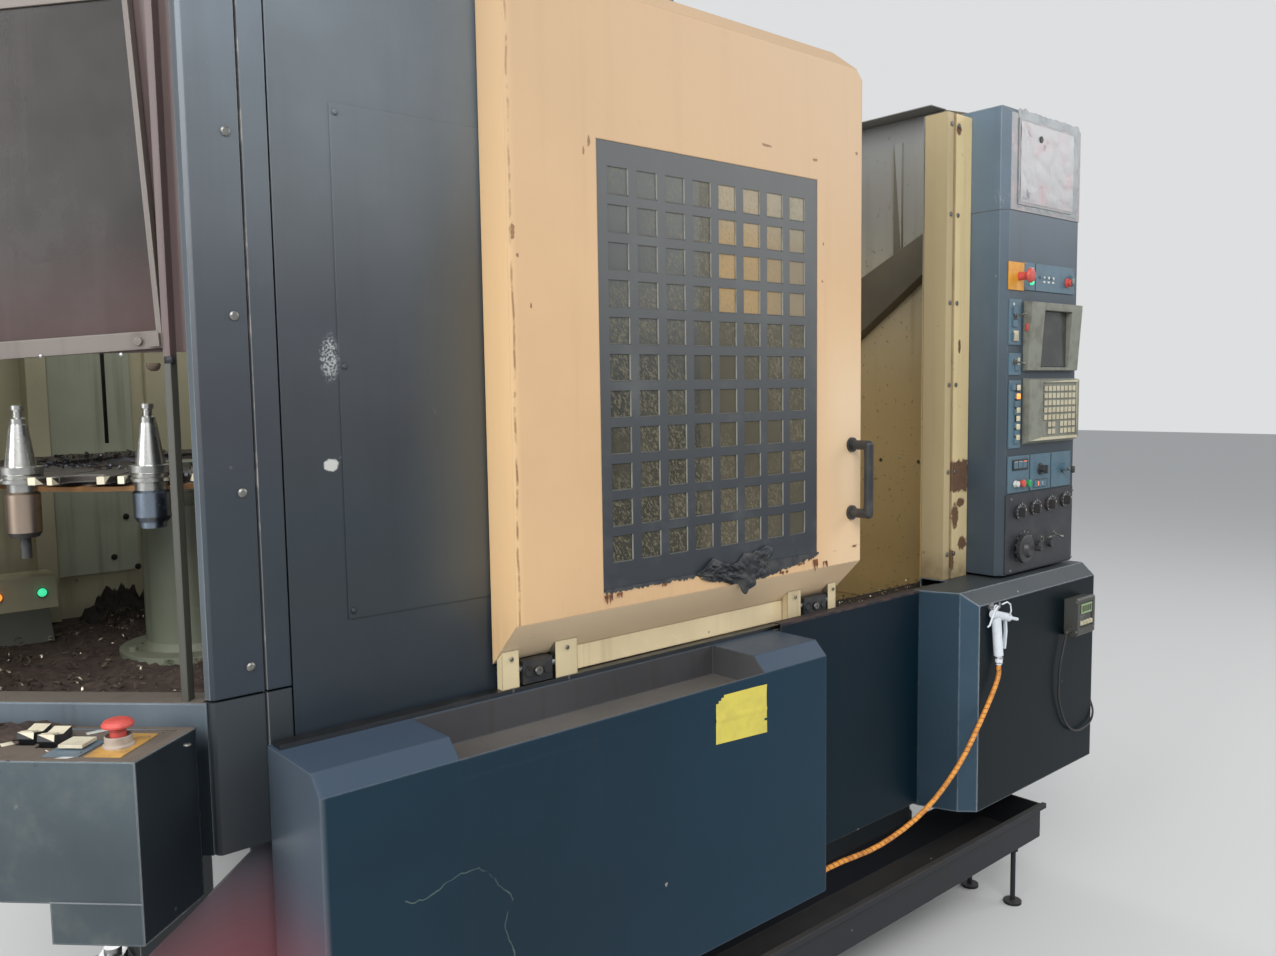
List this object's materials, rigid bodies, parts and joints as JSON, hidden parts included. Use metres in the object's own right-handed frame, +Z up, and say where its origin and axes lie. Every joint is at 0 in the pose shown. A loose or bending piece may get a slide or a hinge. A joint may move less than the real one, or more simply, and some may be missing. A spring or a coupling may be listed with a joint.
{
  "type": "cnc machining center",
  "caption": "Vertical machining centre with a sliding cream door, side tool magazine, operator tower, apron with a tool tray and a hanging air gun.",
  "frame": {"origin": "middle of the footprint at the floor, under the levelling pads", "axes": "+X to the right along the front, +Y from the front to the rear, +Z up"},
  "size_m": [2.85, 2.88, 2.75],
  "materials": {
    "dark_paint": "satin",
    "cream_paint": "satin",
    "inner_paint": "satin",
    "casting": "painted",
    "steel": "ground",
    "brown_pan": "worn",
    "aluminium": "satin",
    "black_part": "matt",
    "panel_face": "satin",
    "unit_grey": "matt",
    "red_button": "satin",
    "green_button": "gloss",
    "cream_button": "satin",
    "door_glass": "scratched",
    "smoked_glass": "smoked",
    "hose": "braided",
    "lead": "matt"
  },
  "bodies": {
    "root": {"base_casting": "casting", "levelling_screws": "steel", "column_casting": "casting", "chip_pan": "brown_pan", "front_apron": "dark_paint", "recessed_panel": "dark_paint", "right_cabinet": "dark_paint", "control_tower": "dark_paint", "tower_cap": "dark_paint", "control_face": "panel_face", "display_unit": "unit_grey", "front_panel": "dark_paint", "access_plate": "dark_paint", "corner_column": "dark_paint", "magazine_housing": "dark_paint", "door_post": "cream_paint", "enclosure_liner": "inner_paint", "outer_covers": "dark_paint", "door_rails": "steel", "axis_drives": "casting", "carousel_drive": "casting", "control_box": "dark_paint", "readout_box": "unit_grey", "cover_screws": "steel", "electrics_cabinet": "dark_paint", "air_outlet": "steel", "changer_housing": "casting", "air_gun": "steel", "air_hose": "hose", "readout_lead": "lead"},
    "door": {"door_shell": "cream_paint", "door_grid": "black_part", "door_pane": "door_glass", "door_handle": "black_part", "door_carriages": "cream_paint"},
    "sash": {"magazine_sash": "aluminium", "sash_pane": "smoked_glass"},
    "saddle": {"saddle": "casting", "x_axis_drive": "steel"},
    "table": {"table": "casting"},
    "head": {"spindle_head": "casting"},
    "spindle": {"spindle": "steel"},
    "carousel": {"tool_carousel": "black_part", "tool_holders": "steel"},
    "changer_shaft": {"changer_shaft": "steel"},
    "change_arm": {"change_arm": "steel"},
    "electrics_door": {"electrics_door": "dark_paint"},
    "gun_trigger": {"gun_trigger": "steel"},
    "magazine_stop": {"magazine_stop": "red_button"},
    "tower_stop": {"tower_stop": "red_button"},
    "handwheel": {"handwheel": "black_part"},
    "rocker_outer": {"rocker_outer": "black_part"},
    "rocker_inner": {"rocker_inner": "black_part"},
    "plate_button": {"plate_button": "cream_button"},
    "switch_a": {"switch_a": "black_part"},
    "switch_b": {"switch_b": "black_part"},
    "switch_c": {"switch_c": "black_part"},
    "switch_d": {"switch_d": "black_part"},
    "start_button": {"start_button": "green_button"},
    "stop_button": {"stop_button": "red_button"}
  },
  "joints": [
    {"name": "door_slide", "type": "slide", "parent": "root", "child": "door", "axis": [1, 0, 0], "range_m": [-0.41, 0.443]},
    {"name": "sash_slide", "type": "slide", "parent": "root", "child": "sash", "axis": [0, 0, 1], "range_m": [-0.5, 0]},
    {"name": "y_axis", "type": "slide", "parent": "root", "child": "saddle", "axis": [0, 1, 0], "range_m": [-0.25, 0.25]},
    {"name": "x_axis", "type": "slide", "parent": "saddle", "child": "table", "axis": [1, 0, 0], "range_m": [-0.45, 0.45]},
    {"name": "z_axis", "type": "slide", "parent": "root", "child": "head", "axis": [0, 0, 1], "range_m": [-0.322, 0.128]},
    {"name": "spindle_turn", "type": "hinge", "parent": "head", "child": "spindle", "pos_m": [0.3955, -0.6, 1.45], "axis": [0, 0, 1], "continuous": true},
    {"name": "carousel_turn", "type": "hinge", "parent": "root", "child": "carousel", "pos_m": [-0.905, -0.689, 1.358], "axis": [0, 0, 1], "continuous": true},
    {"name": "changer_slide", "type": "slide", "parent": "root", "child": "changer_shaft", "axis": [0, 0, 1], "range_m": [-0.11, 0]},
    {"name": "changer_swing", "type": "hinge", "parent": "changer_shaft", "child": "change_arm", "pos_m": [-0.05225, -0.6445, 1.382], "axis": [0, 0, 1], "range_deg": [0, 180]},
    {"name": "magazine_stop_press", "type": "slide", "parent": "root", "child": "magazine_stop", "axis": [0, 0, -1], "range_m": [0, 0.005], "stiffness_N_per_m": 600},
    {"name": "tower_stop_press", "type": "slide", "parent": "root", "child": "tower_stop", "axis": [0, 1, 0], "range_m": [0, 0.005], "stiffness_N_per_m": 600},
    {"name": "rocker_outer_tip", "type": "hinge", "parent": "root", "child": "rocker_outer", "pos_m": [-1.26287, -1.07233, 0.989], "axis": [0.7071, -0.7071, 0], "range_deg": [-8, 8]},
    {"name": "rocker_inner_tip", "type": "hinge", "parent": "root", "child": "rocker_inner", "pos_m": [-1.24307, -1.10627, 0.989], "axis": [0.7071, -0.7071, 0], "range_deg": [-8, 8]},
    {"name": "plate_button_press", "type": "slide", "parent": "root", "child": "plate_button", "axis": [0, 0, -1], "range_m": [0, 0.0015], "stiffness_N_per_m": 600},
    {"name": "handwheel_turn", "type": "hinge", "parent": "root", "child": "handwheel", "pos_m": [1.086, -1.3432, 1.044], "axis": [0, -1, 0], "continuous": true},
    {"name": "switch_a_turn", "type": "hinge", "parent": "root", "child": "switch_a", "pos_m": [1.071, -1.3432, 1.146], "axis": [0, -1, 0], "range_deg": [-120, 120]},
    {"name": "switch_b_turn", "type": "hinge", "parent": "root", "child": "switch_b", "pos_m": [1.153, -1.3432, 1.15], "axis": [0, -1, 0], "range_deg": [-120, 120]},
    {"name": "switch_c_turn", "type": "hinge", "parent": "root", "child": "switch_c", "pos_m": [1.238, -1.3432, 1.155], "axis": [0, -1, 0], "range_deg": [-120, 120]},
    {"name": "switch_d_turn", "type": "hinge", "parent": "root", "child": "switch_d", "pos_m": [1.326, -1.3432, 1.16], "axis": [0, -1, 0], "range_deg": [-120, 120]},
    {"name": "start_press", "type": "slide", "parent": "root", "child": "start_button", "axis": [0, 1, 0], "range_m": [0, 0.004], "stiffness_N_per_m": 600},
    {"name": "stop_press", "type": "slide", "parent": "root", "child": "stop_button", "axis": [0, 1, 0], "range_m": [0, 0.004], "stiffness_N_per_m": 600},
    {"name": "electrics_door_hinge", "type": "hinge", "parent": "root", "child": "electrics_door", "pos_m": [1.2095, 1.43, 1.2], "axis": [0, 0, -1], "range_deg": [0, 110]},
    {"name": "gun_trigger_squeeze", "type": "hinge", "parent": "root", "child": "gun_trigger", "pos_m": [0.882, -1.415, 0.885], "axis": [0, 1, 0], "range_deg": [0, 8], "stiffness_Nm_per_rad": 0.5}
  ]
}
